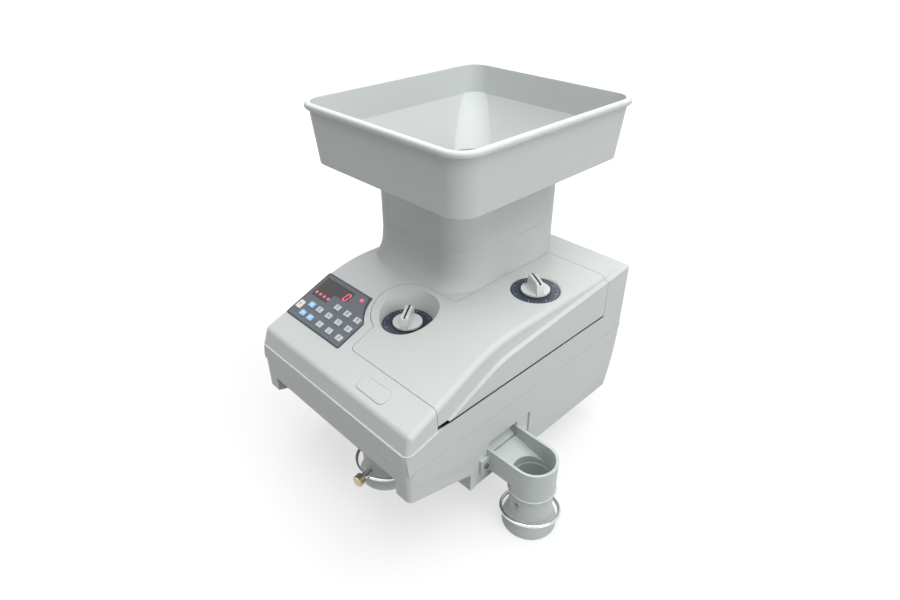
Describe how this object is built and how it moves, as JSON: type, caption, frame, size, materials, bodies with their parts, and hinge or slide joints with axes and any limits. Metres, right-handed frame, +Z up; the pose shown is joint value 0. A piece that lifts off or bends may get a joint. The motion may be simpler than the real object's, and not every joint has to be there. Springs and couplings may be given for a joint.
{
  "type": "coin sorting machine",
  "caption": "Coin counter and sorter with a square lift-off hopper, sloped keypad panel, hinged lid with setting dials, and front and side coin outlets with bag rings.",
  "frame": {"origin": "middle of the flat underside of the base", "axes": "+X to the machine's right, +Y to its back, +Z up"},
  "size_m": [0.38, 0.4069, 0.414],
  "materials": {
    "housing_plastic": "fine satin moulding",
    "outlet_plastic": "satin moulding",
    "foot_rubber": "matt",
    "panel_film": "printed film",
    "display_smoke": "smoked window",
    "lamp_red": "lit lens",
    "key_pink": "moulded",
    "key_blue": "moulded",
    "key_grey": "moulded",
    "dial_navy": "printed scale",
    "knob_plastic": "satin moulding",
    "ring_chrome": "bright plate",
    "screw_brass": "turned",
    "screw_steel": "plated",
    "plate_steel": "rolled",
    "magnet_iron": "sintered",
    "circuit_board": "solder mask",
    "inner_plastic": "moulded",
    "belt_rubber": "matt",
    "motor_paint": "satin paint",
    "power_black": "moulded"
  },
  "bodies": {
    "housing": {"base_pan": "housing_plastic", "rubber_feet": "foot_rubber", "upper_cover": "housing_plastic", "hinge_brackets": "plate_steel", "hinge_pins": "screw_steel", "control_overlay": "panel_film", "display_window": "display_smoke", "power_lamp": "lamp_red", "control_board": "circuit_board", "deck_plate": "plate_steel", "deck_posts": "plate_steel", "deck_screws": "screw_steel", "feed_bowl": "inner_plastic", "feed_bearing": "plate_steel", "feed_motor": "motor_paint", "coin_rail": "plate_steel", "coin_belt": "belt_rubber", "belt_motor": "motor_paint", "count_sensor": "inner_plastic", "reject_slide": "inner_plastic", "front_funnel": "inner_plastic", "side_chute": "outlet_plastic", "side_sleeve": "outlet_plastic", "chute_screws": "screw_steel", "front_outlet": "outlet_plastic", "main_board": "circuit_board", "mains_inlet": "power_black"},
    "lid": {"lid": "housing_plastic", "catch_strike": "plate_steel", "dial_scale_front": "dial_navy", "dial_scale_rear": "dial_navy"},
    "hopper": {"hopper": "housing_plastic"},
    "release": {"release_button": "housing_plastic", "catch_magnet": "magnet_iron"},
    "front_dial": {"dial_knob_front": "knob_plastic"},
    "rear_dial": {"dial_knob_rear": "knob_plastic"},
    "diameter_slide": {"diameter_rail": "plate_steel"},
    "thickness_slide": {"thickness_gate": "plate_steel"},
    "feed": {"feed_disc": "inner_plastic", "feed_shaft": "plate_steel"},
    "belt_drive": {"belt_drive_pulley": "inner_plastic"},
    "belt_idler": {"belt_idler_pulley": "inner_plastic"},
    "side_hoop": {"side_ring": "ring_chrome"},
    "front_hoop": {"front_ring": "ring_chrome"},
    "thumb_screw": {"front_thumb_screw": "screw_brass"},
    "rocker": {"power_switch": "power_black"},
    "body_key_red": {"key_red": "key_pink"},
    "body_key_blue_1": {"key_blue_1": "key_blue"},
    "body_key_blue_2": {"key_blue_2": "key_blue"},
    "body_key_blue_3": {"key_blue_3": "key_blue"},
    "body_key_grey_0": {"key_grey_0": "key_grey"},
    "body_key_grey_1": {"key_grey_1": "key_grey"},
    "body_key_grey_2": {"key_grey_2": "key_grey"},
    "body_key_grey_3": {"key_grey_3": "key_grey"},
    "body_key_grey_4": {"key_grey_4": "key_grey"},
    "body_key_grey_5": {"key_grey_5": "key_grey"},
    "body_key_grey_6": {"key_grey_6": "key_grey"},
    "body_key_grey_7": {"key_grey_7": "key_grey"},
    "body_key_grey_8": {"key_grey_8": "key_grey"},
    "body_key_grey_9": {"key_grey_9": "key_grey"}
  },
  "joints": [
    {"name": "lid_hinge", "type": "hinge", "parent": "housing", "child": "lid", "pos_m": [0.123, 0, 0.1286], "axis": [0, 1, 0], "range_deg": [0, 60]},
    {"name": "hopper_lift", "type": "slide", "parent": "housing", "child": "hopper", "axis": [0, 0, 1], "range_m": [0, 0.06]},
    {"name": "release_press", "type": "slide", "parent": "housing", "child": "release", "axis": [0, 0.3665, -0.9304], "range_m": [0, 0.002], "stiffness_N_per_m": 400, "springref_m": -0.0006},
    {"name": "front_dial_turn", "type": "hinge", "parent": "lid", "child": "front_dial", "pos_m": [0.01, -0.072, 0.157], "axis": [0, 0, -1], "range_deg": [0, 55]},
    {"name": "diameter_shift", "type": "slide", "parent": "lid", "child": "diameter_slide", "axis": [1, 0, 0], "range_m": [0, 0.00767]},
    {"name": "rear_dial_turn", "type": "hinge", "parent": "lid", "child": "rear_dial", "pos_m": [0.085, 0.055, 0.1774], "axis": [0, 0, -1], "range_deg": [0, 180]},
    {"name": "thickness_lift", "type": "slide", "parent": "lid", "child": "thickness_slide", "axis": [0, 0, 1], "range_m": [0, 0.004]},
    {"name": "feed_spin", "type": "hinge", "parent": "housing", "child": "feed", "pos_m": [-0.0415, 0.075, 0.13], "axis": [0, 0, 1], "continuous": true},
    {"name": "belt_drive_spin", "type": "hinge", "parent": "housing", "child": "belt_drive", "pos_m": [0.044, 0.03, 0.1407], "axis": [1, 0, 0], "continuous": true},
    {"name": "belt_idler_spin", "type": "hinge", "parent": "housing", "child": "belt_idler", "pos_m": [0.044, -0.098, 0.1407], "axis": [1, 0, 0], "continuous": true},
    {"name": "side_ring_lift", "type": "slide", "parent": "housing", "child": "side_hoop", "axis": [0, 0, 1], "range_m": [0, 0.02]},
    {"name": "front_ring_slide", "type": "slide", "parent": "housing", "child": "front_hoop", "axis": [0, 0, 1], "range_m": [0, 0.03]},
    {"name": "thumb_screw_turn", "type": "hinge", "parent": "front_hoop", "child": "thumb_screw", "pos_m": [0.04957, -0.17961, 0.025], "axis": [0.1392, -0.9903, 0], "range_deg": [0, 360]},
    {"name": "power_rock", "type": "hinge", "parent": "housing", "child": "rocker", "pos_m": [-0.036, 0.167, 0.041], "axis": [-1, 0, 0], "range_deg": [0, 16]},
    {"name": "key_red_press", "type": "slide", "parent": "housing", "child": "body_key_red", "axis": [0, 0.3665, -0.9304], "range_m": [0, 0.0008], "stiffness_N_per_m": 250, "springref_m": -0.0004},
    {"name": "key_blue_1_press", "type": "slide", "parent": "housing", "child": "body_key_blue_1", "axis": [0, 0.3665, -0.9304], "range_m": [0, 0.0008], "stiffness_N_per_m": 250, "springref_m": -0.0004},
    {"name": "key_blue_2_press", "type": "slide", "parent": "housing", "child": "body_key_blue_2", "axis": [0, 0.3665, -0.9304], "range_m": [0, 0.0008], "stiffness_N_per_m": 250, "springref_m": -0.0004},
    {"name": "key_blue_3_press", "type": "slide", "parent": "housing", "child": "body_key_blue_3", "axis": [0, 0.3665, -0.9304], "range_m": [0, 0.0008], "stiffness_N_per_m": 250, "springref_m": -0.0004},
    {"name": "key_grey_0_press", "type": "slide", "parent": "housing", "child": "body_key_grey_0", "axis": [0, 0.3665, -0.9304], "range_m": [0, 0.0008], "stiffness_N_per_m": 250, "springref_m": -0.0004},
    {"name": "key_grey_1_press", "type": "slide", "parent": "housing", "child": "body_key_grey_1", "axis": [0, 0.3665, -0.9304], "range_m": [0, 0.0008], "stiffness_N_per_m": 250, "springref_m": -0.0004},
    {"name": "key_grey_2_press", "type": "slide", "parent": "housing", "child": "body_key_grey_2", "axis": [0, 0.3665, -0.9304], "range_m": [0, 0.0008], "stiffness_N_per_m": 250, "springref_m": -0.0004},
    {"name": "key_grey_3_press", "type": "slide", "parent": "housing", "child": "body_key_grey_3", "axis": [0, 0.3665, -0.9304], "range_m": [0, 0.0008], "stiffness_N_per_m": 250, "springref_m": -0.0004},
    {"name": "key_grey_4_press", "type": "slide", "parent": "housing", "child": "body_key_grey_4", "axis": [0, 0.3665, -0.9304], "range_m": [0, 0.0008], "stiffness_N_per_m": 250, "springref_m": -0.0004},
    {"name": "key_grey_5_press", "type": "slide", "parent": "housing", "child": "body_key_grey_5", "axis": [0, 0.3665, -0.9304], "range_m": [0, 0.0008], "stiffness_N_per_m": 250, "springref_m": -0.0004},
    {"name": "key_grey_6_press", "type": "slide", "parent": "housing", "child": "body_key_grey_6", "axis": [0, 0.3665, -0.9304], "range_m": [0, 0.0008], "stiffness_N_per_m": 250, "springref_m": -0.0004},
    {"name": "key_grey_7_press", "type": "slide", "parent": "housing", "child": "body_key_grey_7", "axis": [0, 0.3665, -0.9304], "range_m": [0, 0.0008], "stiffness_N_per_m": 250, "springref_m": -0.0004},
    {"name": "key_grey_8_press", "type": "slide", "parent": "housing", "child": "body_key_grey_8", "axis": [0, 0.3665, -0.9304], "range_m": [0, 0.0008], "stiffness_N_per_m": 250, "springref_m": -0.0004},
    {"name": "key_grey_9_press", "type": "slide", "parent": "housing", "child": "body_key_grey_9", "axis": [0, 0.3665, -0.9304], "range_m": [0, 0.0008], "stiffness_N_per_m": 250, "springref_m": -0.0004}
  ],
  "couplings": [
    {"joint": "front_dial_turn", "follows": "diameter_shift", "rad_per_m": 125},
    {"joint": "rear_dial_turn", "follows": "thickness_lift", "rad_per_m": 785},
    {"joint": "belt_idler_spin", "follows": "belt_drive_spin", "ratio": 1}
  ]
}
